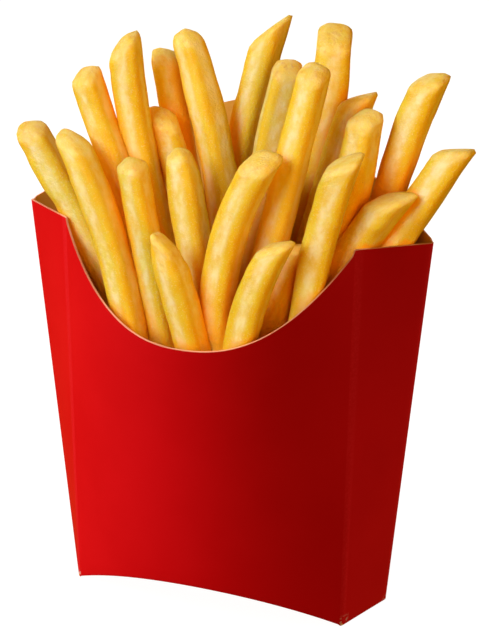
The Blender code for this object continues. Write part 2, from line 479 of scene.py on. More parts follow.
@dataclass(frozen=True)
class FriedPotato:
    """Fried potato: browner at its ends, lightly oiled, golden on its corners partly as painted shade, with
    painted highlights down its faces and painted shade in its gaps.
    """

    name: str = "fried_potato"
    cream: Colour = (0.80, 0.66, 0.06)
    golden: Colour = (0.81, 0.52, 0.007)
    amber: Colour = (0.86, 0.46, 0.01)
    pale: Colour = (0.92, 0.84, 0.52)
    # The colour of the painted shade where a fry faces another fry or the board.
    gap_shade_colour: Colour = (0.95, 0.40, 0.005)
    brown: Colour = (0.60, 0.24, 0.015)
    blotch: Pattern = (330.0, 3.0)
    fleck: Pattern = (480.0, 3.0)
    mottle: Pattern = (900.0, 4.0)
    speck: Pattern = (2600.0, 2.0)
    tone_share: float = 0.5
    gilded: Band = (0.28, 0.72, 0.08, 0.85)
    edge_at_tip: Band = (0.0, 0.8, 1.0, 0.25)
    # Gold on the corners: partly the crisper crust there, partly painted shade towards the fry's edges.
    edge_gold_and_shade: Band = (0.35, 0.65, 0.4, 0.85)
    patches: Band = (0.5, 0.72)
    patch_tone: Pair = (0.16, 0.04)
    tip_mottle: Band = (0.3, 0.7, 0.3, 0.8)
    crisped: Band = (0.5, 0.7)
    # Where the painted highlight down the middle of each face fades out, towards its corners and its end.
    middle: Band = (0.0, 0.75, 0.85, 0.0)
    middle_at_tip: Band = (0.0, 0.8, 1.0, 0.5)
    highlight_flecks: Band = (0.25, 0.75, 0.15, 1.0)
    grains: Band = (0.55, 0.68)
    grain_share: float = 0.28
    # How the painted gap shade is laid on, read from its attribute.
    gap_shade: Band = (0.08, 0.6, 0.0, 0.8)
    roughness: Band = (0.35, 0.7, 0.42, 0.6)
    specular: float = 0.45
    softness: float = 0.6
    soft_colours: Colour = (1.0, 0.8, 0.35)
    soft_depth: float = 2.5 * MM
    speck_height: float = 0.6
    grain: Pair = (0.7, 0.35 * MM)

    def make(self) -> Material:
        """Builds the material.

        It reads each fry's run, corner, tip, tone and browning attributes, and the attribute of painted gap
        shade.

        Returns:
            The material.
        """
        made, bench, shader = new_material(self.name)
        run = bench.painted("run", vector=True)
        along = bench.vector("MULTIPLY", run, LENGTHWISE)
        blotch, fleck = bench.noise(along, self.blotch), bench.noise(along, self.fleck)
        mottle, speck = bench.noise(run, self.mottle), bench.noise(run, self.speck)
        tone, tip = bench.painted("tone"), bench.painted("tip")
        toned = bench.plus(blotch, bench.scaled(tone, self.tone_share, -self.tone_share * MEAN))
        edge = bench.times(bench.painted("corner"), bench.band(tip, self.edge_at_tip))
        patch = bench.times(bench.band(mottle, self.patches), bench.scaled(tone, *self.patch_tone))
        browned = bench.times(tip, bench.band(mottle, self.tip_mottle), bench.painted("browning"))
        # Painted highlight: the middle of each face, away from its corners and its end.
        middle = bench.times(bench.band(edge, self.middle), bench.band(tip, self.middle_at_tip))
        colour = bench.coats(
            self.cream,
            (bench.band(toned, self.gilded), self.golden),
            # Partly painted shade: gold on the corners, for the crisper crust and for shade towards the fry's
            # edges.
            (bench.times(edge, bench.band(blotch, self.edge_gold_and_shade)), self.golden),
            (patch, self.amber),
            (browned, self.amber),
            (bench.times(browned, bench.band(mottle, self.crisped)), self.brown),
            # Painted highlight: pale patches down the middle of each face.
            (bench.times(bench.band(fleck, self.highlight_flecks), middle), self.pale),
            (bench.times(bench.band(speck, self.grains), self.grain_share), self.pale),
            # Painted shade: a deep orange where the fry faces another fry or the board.
            (bench.band(bench.painted("gap_shade"), self.gap_shade), self.gap_shade_colour),
        )
        crust = bench.scaled(speck, self.speck_height, mottle)
        inputs = {"Base Color": colour, "Roughness": bench.band(mottle, self.roughness)}
        inputs |= {"Specular IOR Level": self.specular, "Normal": bench.grain(crust, *self.grain)}
        inputs |= {"Subsurface Weight": self.softness, "Subsurface Radius": self.soft_colours}
        inputs |= {"Subsurface Scale": self.soft_depth}
        bench.fill(shader, inputs)
        return made


@dataclass(frozen=True)
class CartonShape:
    """The carton's outer face. A pair holds the value at the base and the value at the folds' tops."""

    fold_height: float = 106.5 * MM
    back_corner_height: float = 105.5 * MM
    front_half_width: Pair = (38.4 * MM, 38.6 * MM)
    back_half_width: Pair = (47.0 * MM, 55.0 * MM)
    front_fold_y: Pair = (-10.3 * MM, -6.8 * MM)
    back_corner_y: Pair = (5.9 * MM, 6.5 * MM)
    front_bulge: Pair = (10.5 * MM, 19.8 * MM)
    back_bulge: Pair = (8.0 * MM, 21.0 * MM)
    scoop_height: float = 82.4 * MM
    scoop_power: float = 2.5
    back_peak_height: float = 131.5 * MM
    back_arch_powers: Pair = (1.45, 1.1)
    base_rise: float = 11.6 * MM
    board: float = 0.5 * MM

    def front(self, across: float, height: float) -> Vector:
        """A point of the front panel.

        Args:
            across: From -1 to 1 between the folds.
            height: The point's height.

        Returns:
            The point.
        """
        share = height / self.fold_height
        y = between(self.front_fold_y, share) - between(self.front_bulge, share) * (1 - across**2)
        return Vector((across * between(self.front_half_width, share), y, height))

    def back(self, across: float, height: float) -> Vector:
        """A point of the back panel.

        Args:
            across: From -1 to 1 between its corners.
            height: The point's height.

        Returns:
            The point.
        """
        share = height / self.fold_height
        y = between(self.back_corner_y, share) + between(self.back_bulge, share) * (1 - across**2)
        return Vector((across * between(self.back_half_width, share), y, height))

    def point(self, across: float, depth: float, height: float) -> Vector:
        """A point inside or on the carton; depth runs from 0 at the front to 1 at the back."""
        return self.front(across, height).lerp(self.back(across, height), depth)

    def depth(self, across: float, height: float) -> float:
        """How far it is from the front to the back."""
        return (self.back(across, height) - self.front(across, height)).length

    def base(self, across: float) -> float:
        """The height of the arched base."""
        return self.base_rise * (1 - across**2)

    def scoop(self, across: Any) -> Any:
        """The height of the scooped edge in front, for one place or an array of them."""
        drop = self.fold_height - self.scoop_height
        return self.fold_height - drop * (1 - abs(across) ** self.scoop_power)

    def arch(self, across: Any) -> Any:
        """The height of the arched edge behind, for one place or an array of them."""
        rise, (inner, outer) = self.back_peak_height - self.back_corner_height, self.back_arch_powers
        return self.back_corner_height + rise * (1 - abs(across) ** inner) ** outer

    def rim(self, across: float, depth: float) -> float:
        """The height of the open edge: the scoop in front, the arch behind, and a straight line between.

        Args:
            across: From -1 to 1 between the folds.
            depth: From 0 at the front to 1 at the back.

        Returns:
            The height.
        """
        if depth <= 0:
            return self.scoop(across)
        if depth >= 1:
            return self.arch(across)
        return between((self.fold_height, self.back_corner_height), depth)

    def rim_over(self, x: np.ndarray, y: np.ndarray) -> np.ndarray:
        """The height of the open edge at the wall nearest to each place.

        Args:
            x: Places from side to side.
            y: How far back they are.

        Returns:
            The heights.
        """
        widths = (self.front_half_width[1], self.back_half_width[1])
        front, back = [np.minimum(np.abs(x) / width, 1.0) for width in widths]
        return np.where(y < 0, self.scoop(front), self.arch(back))

    def room(self, x: np.ndarray, height: np.ndarray, clearance: float) -> tuple[np.ndarray, np.ndarray]:
        """How far forwards and backwards there is room inside the carton.

        Args:
            x: Places from side to side.
            height: Their heights.
            clearance: How far to keep from the outer face.

        Returns:
            The lowest and the highest y of each place.
        """
        share = height / self.fold_height
        front_half, back_half = between(self.front_half_width, share), between(self.back_half_width, share)
        front_bulge, back_bulge = between(self.front_bulge, share), between(self.back_bulge, share)
        fold_y, corner_y = between(self.front_fold_y, share), between(self.back_corner_y, share)
        front_across = np.minimum(np.abs(x) / front_half, 1.0)
        back_across = np.minimum(np.abs(x) / back_half, 1.0)
        beyond = np.clip((np.abs(x) - front_half) / (back_half - front_half), 0.0, 1.0)
        side_slope = (corner_y - fold_y) / (back_half - front_half)
        front_slope = np.where(beyond > 0, side_slope, 2 * front_bulge * front_across / front_half)
        back_slope = 2 * back_bulge * back_across / back_half
        low = fold_y - front_bulge * (1 - front_across**2) + beyond * (corner_y - fold_y)
        high = corner_y + back_bulge * (1 - back_across**2)
        low = low + clearance * np.sqrt(1 + front_slope**2)
        high = high - clearance * np.sqrt(1 + back_slope**2)
        middle = (low + high) / 2
        return np.minimum(low, middle), np.maximum(high, middle)

    def offset(self) -> Vector:
        """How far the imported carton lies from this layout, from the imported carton's own box."""
        low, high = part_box(Stock.CARTON.node)
        return Vector(((low.x + high.x) / 2, low.y - self.front(0.0, self.scoop_height).y, low.z))


@dataclass(frozen=True)
class Post:
    """One upright line of the board: its place on the outline, and whether it is on a fold.

    turn is for a post on the round of a fold: the places where the round starts and ends, and how
    far along it the post is.
    """

    across: float
    depth: float
    fold: float = 0.0
    turn: tuple[Pair, Pair, float] | None = None


@dataclass
class CartonBoard:
    """The folded board as one thin sheet with rounded folds, printed outside, with its cut edge all round."""

    shape: CartonShape
    panel_posts: int = 72
    side_posts: int = 10
    fold_posts: int = 4
    wall_rows: int = 36
    fold_radius: float = 1.0 * MM
    base_radius: float = 0.6 * MM
    rim_steps: tuple[float, ...] = (0.0, 0.2 * MM, 0.45 * MM, 1.0 * MM)
    scuff_height: float = 2.2 * MM
    sharp_angle: float = 50.0
    outside: PrintedBoard = PrintedBoard()
    inside: PlainFinish = PlainFinish("golden_inside", (0.86, 0.52, 0.10), (0.80, 0.45, 0.07))
    cut: PlainFinish = PlainFinish("cut_edge", (0.95, 0.48, 0.34), (0.9, 0.38, 0.24), roughness=0.8)

    def panel_edge(self) -> float:
        """How near to a fold, as a share of half the front, the flat of a panel comes."""
        return 1 - self.fold_radius / self.shape.front_half_width[1]

    def side_edge(self) -> float:
        """How near to a fold, as a share of a side's width, the flat of a side comes."""
        return self.fold_radius / self.shape.depth(1.0, self.shape.fold_height)

    def panel(self, sign: float, depth: float) -> list[Post]:
        """The posts across the front or the back, in the order that they go round."""
        steps = [2 * i / self.panel_posts - 1 for i in range(self.panel_posts + 1)]
        return [Post(sign * self.panel_edge() * step, depth) for step in steps]

    def side(self, sign: float, forwards: bool) -> list[Post]:
        """The posts from one panel to the next: a rounded fold, the flat of the side, another fold.

        Args:
            sign: 1 for the right side, -1 for the left.
            forwards: Whether they go from the front to the back.

        Returns:
            The posts.
        """
        edge, near = self.panel_edge(), self.side_edge()
        shares = [near + (1 - 2 * near) * i / self.side_posts for i in range(self.side_posts + 1)]
        folds = [i / self.fold_posts for i in range(1, self.fold_posts)]
        front, back = ((sign * edge, 0.0), (sign, near)), ((sign, 1 - near), (sign * edge, 1.0))
        posts = [Post(sign, near * s / 2, 1.0, (*front, s)) for s in folds]
        posts += [Post(sign, share, 1.0 if share in (shares[0], shares[-1]) else 0.0) for share in shares]
        posts += [Post(sign, 1 - near * (1 - s) / 2, 1.0, (*back, s)) for s in folds]
        return posts if forwards else posts[::-1]

    def posts(self) -> list[Post]:
        """All the posts round the carton, anticlockwise from the left end of the front."""
        return self.panel(1, 0) + self.side(1, True) + self.panel(-1, 1) + self.side(-1, False)

    def place(self, post: Post, height: float) -> Vector:
        """Where a post is at a height, with the folds rounded in plan.

        Args:
            post: The post.
            height: The height.

        Returns:
            The place.
        """
        if post.turn is None:
            return self.shape.point(post.across, post.depth, height)
        first, second, share = post.turn
        corner = self.shape.point(post.across, round(post.depth), height)
        return self.bent(self.shape.point(*first, height), corner, self.shape.point(*second, height), share)

    def bent(self, start: Vector, corner: Vector, end: Vector, share: float) -> Vector:
        """A point of the round that leads from a start to an end inside a corner."""
        return start * (1 - share) ** 2 + corner * (2 * share * (1 - share)) + end * share**2

    def inner(self, post: Post) -> Vector:
        """The point of the base that lies a fold's radius in from a post.

        Args:
            post: The post.

        Returns:
            The point.
        """
        edge = 1 - self.base_radius / self.shape.front_half_width[0]
        across = max(-edge, min(edge, post.across))
        margin = self.base_radius / self.shape.depth(across, 0)
        depth = max(margin, min(1 - margin, post.depth))
        return self.shape.point(across, depth, self.shape.base(across))

    def wall_heights(self, post: Post) -> list[float]:
        """The heights of a post's rows, from above the base's fold up to the rim.

        Args:
            post: The post.

        Returns:
            The heights.
        """
        low = self.shape.base(post.across) + self.base_radius
        top = self.shape.rim(post.across, post.depth)
        rows = [between((low, top - self.rim_steps[-1]), i / self.wall_rows) for i in range(self.wall_rows)]
        return rows + [top - step for step in reversed(self.rim_steps)]

    def base_ring(self, post: Post, share: float) -> Vector:
        """A point of the rounded fold between a wall and the base."""
        low = self.shape.base(post.across)
        wall, corner = self.place(post, low + self.base_radius), self.place(post, low)
        return self.bent(wall, corner, self.inner(post), share)

    def skin(self) -> BMesh:
        """The sheet's outer face, with attributes for its folds, its rim and its scuffed corners.

        Returns:
            The face.
        """
        bm = bmesh.new()
        fold, below_rim, scuff = [bm.verts.layers.float.new(name) for name in ("fold", "below_rim", "scuff")]
        posts = self.posts()
        heights = [self.wall_heights(post) for post in posts]
        rings = []
        for step in range(self.fold_posts, 0, -1):
            rings.append([bm.verts.new(self.base_ring(post, step / self.fold_posts)) for post in posts])
        for row in range(len(heights[0])):
            rings.append([bm.verts.new(self.place(post, high[row])) for post, high in zip(posts, heights)])
        for ring in rings:
            for post, high, vertex in zip(posts, heights, ring):
                low = high[0] - self.base_radius
                vertex[fold] = post.fold
                vertex[below_rim] = high[-1] - vertex.co.z
                vertex[scuff] = post.fold * max(0.0, 1 - (vertex.co.z - low) / self.scuff_height)
        wrap(bm, rings)
        self.close_base(bm, rings[0], posts)
        return bm

    def close_base(self, bm: BMesh, ring: list, posts: list[Post]) -> None:
        """Fills the base between its ring of vertices with a grid from front to back.

        Args:
            bm: The mesh.
            ring: The ring's vertices.
            posts: The posts that they belong to.
        """
        count = self.panel_posts + 1
        side = (len(ring) - 2 * count) // 2
        right = ring[count : count + side]
        back = ring[count + side : 2 * count + side]
        left = ring[2 * count + side :][::-1]
        depths = [post.depth for post in posts[count : count + side]]
        rows = []
        for i in range(count):
            first, last = ring[i], back[count - 1 - i]
            middle = {0: left, count - 1: right}.get(i)
            if middle is None:
                middle = [bm.verts.new(first.co.lerp(last.co, depth)) for depth in depths]
            rows.append([first, *middle, last])
        pave(bm, rows)

    def build(self) -> Object:
        """Builds the board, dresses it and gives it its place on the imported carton.

        Returns:
            The finished board.
        """
        mesh = mesh_of(self.skin(), "skin", self.shape.offset())
        skin = new_object("skin", mesh)
        finishes = {Face.OUTSIDE: self.outside, Face.INSIDE: self.inside, Face.CUT: self.cut}
        for face in Face:
            mesh.materials.append(finishes[face].make())
        sheet = skin.modifiers.new("board", "SOLIDIFY")
        sheet.thickness = self.shape.board
        sheet.offset = -1.0
        sheet.use_even_offset = True
        sheet.use_quality_normals = True
        sheet.material_offset = Face.INSIDE.value
        sheet.material_offset_rim = Face.CUT.value
        board = made_real("carton_board", skin)
        board.data.shade_smooth()
        board.data.set_sharp_from_angle(angle=math.radians(self.sharp_angle))
        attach(board, BODY)
        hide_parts(Stock.CARTON.node)
        return board


@dataclass(frozen=True)
class Fry:
    """One fry, in millimetres and degrees.

    foot is where its middle line crosses the height of the feet, and tip is the middle of its free
    end. bow is how far it bends towards +X between them. turn is how far its square section is
    turned, slant how far its end is cut off square (positive leaves the +X side longer), and lean
    the same from front to back (positive leaves the back longer). taper is the end's width as a
    share of the fry's, nose is how far from the end its edges start to round off, tone runs from 0
    for pale to 1 for golden, and browning is how dark its end is.
    """

    foot: Pair
    tip: Place
    width: float
    bow: float = 0.0
    turn: float = 0.0
    slant: float = 0.0
    lean: float = 0.0
    taper: float = 0.98
    nose: float = 1.8
    tone: float = 0.5
    browning: float = 0.35


STANDING = (
    # The front row, which leans on the scooped edge, from left to right.
    Fry((-16, -15), (-33, -13, 130.1), 7.7, bow=3.5, turn=-13, slant=-42, lean=25, taper=0.9, nose=3.5),
    Fry((3.9, -17), (-5.4, -22, 109), 7.7, turn=-13, slant=-50, taper=0.65, nose=1.2),
    Fry((7.5, -12.5), (17.5, -15, 129.7), 7.9, bow=-7, turn=-10, slant=26, lean=28, nose=2.4),
    Fry((11, -16.5), (22, -19, 110.2), 7.6, bow=-3.6, turn=-8, slant=45, taper=0.9),
    Fry((13.5, -9), (23, -5, 105), 6.5, bow=-0.5, turn=-20, slant=20),
    Fry((25, -9.5), (35.6, -10, 129.3), 8.1, bow=-3, turn=3, slant=40, lean=18, nose=1.4),
    # The second row.
    Fry((-8, -10), (-18, -11, 124.4), 7.0, turn=-13, slant=-10, lean=16, nose=2.2),
    Fry((0.5, -8.5), (-7.6, -6, 126.9), 8.1, bow=1, turn=-5, lean=10, taper=0.75, nose=3.4),
    Fry((2.5, -3), (15.5, 1, 123), 7.5, bow=-1, turn=10),
    Fry((7, -7.5), (26.3, -4, 149), 7.4, turn=-12, lean=24, nose=2.4),
    Fry((13.5, -6.5), (45.2, 0, 118.3), 8.3, bow=-1, turn=-27, slant=44, lean=15, nose=1.4),
    # The third row.
    Fry((-11.7, -7), (-51.5, 1, 127.5), 8.2, bow=0.7, turn=5, slant=-24, lean=25, nose=3),
    Fry((0.7, -5), (-33, -3, 143.8), 7.6, bow=-2, turn=-15, slant=5, lean=20, nose=2.4),
    Fry((-1.5, 2), (-23.6, 0, 151.9), 7.8, bow=-4.2, slant=32, lean=20, nose=3.6),
    Fry((-1.6, 6), (-16.4, 6, 132), 7.3, bow=1.5, turn=10, slant=-35, lean=25),
    Fry((9, 4.5), (16.7, 8, 146.8), 7.3, bow=-4, turn=25, lean=22, nose=2.4, browning=0.8),
    Fry((17, 5.5), (33.4, 11, 139.1), 7.9, bow=-2, turn=-10, slant=36, nose=0.9, browning=0.9),
    Fry((11.5, 2.5), (37.2, 3, 137.1), 8.1, bow=4.5, turn=-25, slant=12, lean=20, nose=2.4),
    Fry((26, -5.5), (57.8, 10, 128.2), 8.4, bow=-1.5, turn=-10, slant=36, nose=1.1),
    # The tall ones at the back.
    Fry((-2.5, 14), (-18.9, 15, 145.6), 7.4, bow=-0.5, turn=15, slant=-22, lean=20, nose=2.6),
    Fry((-0.5, 8.5), (-12, 12, 152.3), 7.9, bow=5, turn=-28, slant=-16, lean=20, taper=0.84, nose=3.8),
    Fry((-14, 13.5), (7.2, 23, 152), 7.5, turn=-18, slant=51, lean=8, nose=1.1),
    Fry((11.5, 13), (26.2, 14.5, 153.4), 9.1, bow=2, turn=15, slant=-8, lean=32, nose=1.6),
    Fry((36, 6.5), (50.8, 12.5, 145), 8.0, bow=-4, turn=-12, slant=30, lean=15, nose=2.2),
)


@dataclass(frozen=True)
class BackRows:
    """The shorter fries behind, in rows that follow the back panel. Lengths are in millimetres.

    Each row is where it starts, how far it stands in front of the back panel, and its count.
    """

    rows: tuple[tuple[float, float, int], ...] = ((-34.0, 16.0, 8), (-34.0, 7.0, 7))
    step: float = 10.0
    stray: float = 1.5
    height: float = 106.0
    height_stray: float = 6.0
    fall: float = 0.2
    foot_share: float = 0.75
    width: float = 7.5
    angle: float = 30.0
    seed: int = 5

    def place(self, shape: CartonShape, x: float, height: float, clearance: float) -> Place:
        """A place this far in front of the back panel."""
        half_width = between(shape.back_half_width, height * MM / shape.fold_height)
        return (x, shape.back(x * MM / half_width, height * MM).y / MM - clearance, height)

    def fries(self, shape: CartonShape, foot_height: float) -> list[Fry]:
        """The rows' fries.

        Args:
            shape: The carton that they stand in.
            foot_height: The height of every foot.

        Returns:
            The fries, row by row.
        """
        chance = random.Random(self.seed)
        made = []
        for first, clearance, count in self.rows:
            for i in range(count):
                sideways, upwards, at_foot = [chance.uniform(-1, 1) for _ in range(3)]
                turn, slant = [chance.uniform(-self.angle, self.angle) for _ in range(2)]
                x = first + i * self.step + self.stray * sideways
                height = self.height + self.height_stray * upwards - self.fall * abs(x)
                tip = self.place(shape, x, height, clearance)
                foot = self.place(shape, self.foot_share * x + self.stray * at_foot, foot_height, clearance)
                made.append(Fry(foot[:2], tip, self.width, turn=turn, slant=slant))
        return made


@dataclass(frozen=True)
class PackedRows:
    """The fries that lie deeper between the others, in a loose grid. Lengths are in millimetres."""

    across: float = 0.8
    columns: int = 9
    rows: int = 3
    wall_clearance: float = 6.5
    heights: Pair = (77.0, 94.0)
    height_stray: float = 3.5
    spread: float = 6.0
    lean: float = 3.0
    widths: Pair = (7.0, 8.0)
    angle: float = 40.0
    seed: int = 11

    def fries(self, shape: CartonShape) -> list[Fry]:
        """The grid's fries.

        Args:
            shape: The carton that they stand in.

        Returns:
            The fries, row by row.
        """
        chance = random.Random(self.seed)
        made = []
        for row in range(self.rows):
            share = row / (self.rows - 1)
            for column in range(self.columns):
                across = self.across * (2 * column / (self.columns - 1) - 1)
                strays = [chance.uniform(-1, 1) for _ in range(6)]
                height = between(self.heights, share) + self.height_stray * strays[0]
                places = [shape.point(across, depth, height * MM) / MM for depth in (0, 1)]
                clear = self.wall_clearance / (places[1] - places[0]).length
                tip = places[0].lerp(places[1], between((clear, 1 - clear), share))
                foot = tip - Vector((across * self.spread, 0, 0)) + Vector(strays[1:3] + [0]) * self.lean
                width = between(self.widths, (strays[3] + 1) / 2)
                turn, slant = self.angle * strays[4], self.angle * strays[5]
                made.append(Fry((foot.x, foot.y), tuple(tip), width, turn=turn, slant=slant))
        return made


class BarShaper:
    """Turns one bar into one fry: fields that read what the fry's foot carries."""

    def __init__(self, bench: NodeBench, given: Any, bundle: "FryBundle") -> None:
        """Reads the foot's sizes, and finds where each point is on the bar and along its fry.

        Args:
            bench: The tree's bench.
            given: The tree's inputs.
            bundle: The bundle, for the sizes that aren't inputs.
        """
        self.bench, self.given, self.bundle = bench, given, bundle
        vectors = [bench.stored(name, vector=True) for name in ("foot", "tip_place", "bend", "stray")]
        self.foot, self.end, self.bend, self.stray = vectors
        numbers = [bench.stored(name) for name in ("half", "thick", "turn", "twist", "slant", "lean")]
        self.half, self.thick, self.turn, self.twist, self.slant, self.lean = numbers
        x, y, height = bench.parts(bench.stored("bar_place", vector=True))
        self.ring = bench.math("SQRT", bench.plus(bench.size_to(x, 2.0), bench.size_to(y, 2.0)))
        safe = bench.math("MAXIMUM", self.ring, TINY)
        self.cos, self.sin = bench.over(x, safe), bench.over(y, safe)
        self.at_top = bench.math("GREATER_THAN", height, HALF_BAR - TINY)
        # Most of the bar's rows stand in the fry's body, and the rest crowd into its end.
        self.chord = bench.vector("SUBTRACT", self.end, self.foot)
        self.length = bench.length(self.chord)
        self.zone = bench.math("MINIMUM", given["End Zone"], bench.times(self.length, bundle.end_most))
        rise, split = bench.plus(height, HALF_BAR), bundle.body_share
        in_body = bench.math("MINIMUM", bench.over(rise, split), 1.0)
        in_end = bench.math("MAXIMUM", bench.over(bench.minus(rise, split), 1 - split), 0.0)
        body = bench.times(in_body, bench.minus(self.length, self.zone))
        self.reach = bench.scaled(in_end, self.zone, body)
        self.share = bench.over(self.reach, self.length)
        self.left = bench.minus(self.length, self.reach)
        self.along = bench.sum(bench.xyz(z=self.reach), self.stray)

    def middle(self) -> tuple[NodeSocket, NodeSocket, NodeSocket, NodeSocket]:
        """The fry's middle line, which bows and wavers a little.

        Returns:
            Its places, and its directions: along the fry, to its right, and away.
        """
        bench = self.bench
        # The bow is the curve 4s(1 - s), which is 1 half way along, and its slope is 4(1 - 2s).
        arch = bench.times(bench.times(self.share, bench.minus(1.0, self.share)), 4.0)
        slope = bench.times(bench.minus(1.0, bench.times(self.share, 2.0)), 4.0)
        waver = bench.noise(self.along, self.bundle.waver_pattern, "Color")
        waver = bench.stretched(bench.vector("SUBTRACT", waver, (MEAN, MEAN, MEAN)), self.given["Waver"])
        straight = bench.sum(self.foot, bench.stretched(self.chord, self.share))
        places = bench.sum(straight, bench.stretched(self.bend, arch), waver)
        tangent = bench.vector("NORMALIZE", bench.sum(self.chord, bench.stretched(self.bend, slope)))
        right = bench.vector("NORMALIZE", bench.vector("CROSS_PRODUCT", (0.0, 1.0, 0.0), tangent))
        return places, tangent, right, bench.vector("CROSS_PRODUCT", tangent, right)

    def outline(self) -> NodeSocket:
        """How far out the section's edge is: a square with rounded corners and slightly sunken faces.

        Returns:
            The distance, as a share of half the fry's width.
        """
        bench, power = self.bench, self.given["Squareness"]
        sides = bench.plus(bench.size_to(self.cos, power), bench.size_to(self.sin, power))
        radius = bench.math("POWER", bench.math("MAXIMUM", sides, TINY), bench.over(-1.0, power))
        flatness = bench.minus(bench.size_to(self.cos, 2.0), bench.size_to(self.sin, 2.0))
        sunken = bench.times(bench.size_to(flatness, 2.0), self.given["Face Sink"])
        return bench.times(radius, bench.minus(1.0, sunken))

    def thickness(self) -> NodeSocket:
        """Half the fry's width, which swells and shrinks, tapers towards the end and rounds off at it.

        Returns:
            Half the width.
        """
        bench, given = self.bench, self.given
        taper, nose = bench.stored("taper"), bench.stored("nose")
        swelling = bench.minus(bench.noise(self.along, self.bundle.swell_pattern), MEAN)
        narrow = bench.over(self.left, bench.times(self.length, given["Taper Share"]))
        narrow = bench.band(narrow, (0.0, 1.0, taper, 1.0))
        curl = bench.math("SUBTRACT", 1.0, bench.over(self.left, nose), clamp=True)
        curl = bench.math("SQRT", bench.minus(1.0, bench.size_to(curl, 2.0)))
        flat_end = bench.times(bench.over(nose, self.half), given["Round Share"])
        flat_end = bench.math("MAXIMUM", bench.minus(1.0, flat_end), self.bundle.flat_least)
        curl = bench.scaled(curl, bench.minus(1.0, flat_end), flat_end)
        return bench.times(self.half, narrow, bench.scaled(swelling, given["Swell"], 1.0), curl)

    def lift(self, section: Any) -> NodeSocket:
        """How far the end is sheared to its slant, with a slight dome.

        Args:
            section: Where each point is across its fry.

        Returns:
            How far each point moves along its fry.
        """
        bench = self.bench
        cut = bench.band(bench.over(self.left, self.zone), (0.0, 1.0, 1.0, 0.0))
        sheared = bench.plus(bench.times(section[0], self.slant), bench.times(section[1], self.lean))
        hump = bench.times(self.at_top, bench.minus(1.0, bench.size_to(self.ring, 2.0)), self.given["Dome"])
        return bench.scaled(sheared, cut, hump)

    def fields(self) -> dict[str, tuple[NodeSocket, bool]]:
        """Where each point goes, and what the finish reads.

        Returns:
            The fields by name, each with whether it is a vector.
        """
        bench, bundle = self.bench, self.bundle
        size = bench.times(self.thickness(), bench.times(self.outline(), self.ring))
        flat = bench.xyz(bench.times(self.cos, size), bench.times(self.sin, size, self.thick))
        run = bench.sum(flat, bench.xyz(z=self.reach), self.stray)
        dents = bench.noise(bench.vector("MULTIPLY", run, LENGTHWISE), bundle.dent_pattern)
        flat = bench.stretched(flat, bench.scaled(bench.minus(dents, MEAN), self.given["Dent"], 1.0))
        angle = bench.scaled(self.twist, bench.minus(self.share, bundle.twist_centre), self.turn)
        spun = bench.add("ShaderNodeVectorRotate", {"Vector": flat, "Angle": angle}, rotation_type="Z_AXIS")
        section = bench.parts(spun.outputs[0])
        places, tangent, right, away = self.middle()
        sideways = bench.stretched(right, section[0])
        backwards = bench.stretched(away, section[1])
        shaped = bench.sum(places, sideways, backwards, bench.stretched(tangent, self.lift(section)))
        corner = bench.size_to(bench.times(bench.times(self.cos, self.sin), 2.0), 2.0)
        tip = bench.band(self.left, (0.0, bundle.tip_zone, 1.0, 0.0))
        return {"run": (run, True), "corner": (corner, False), "tip": (tip, False), "shaped": (shaped, True)}


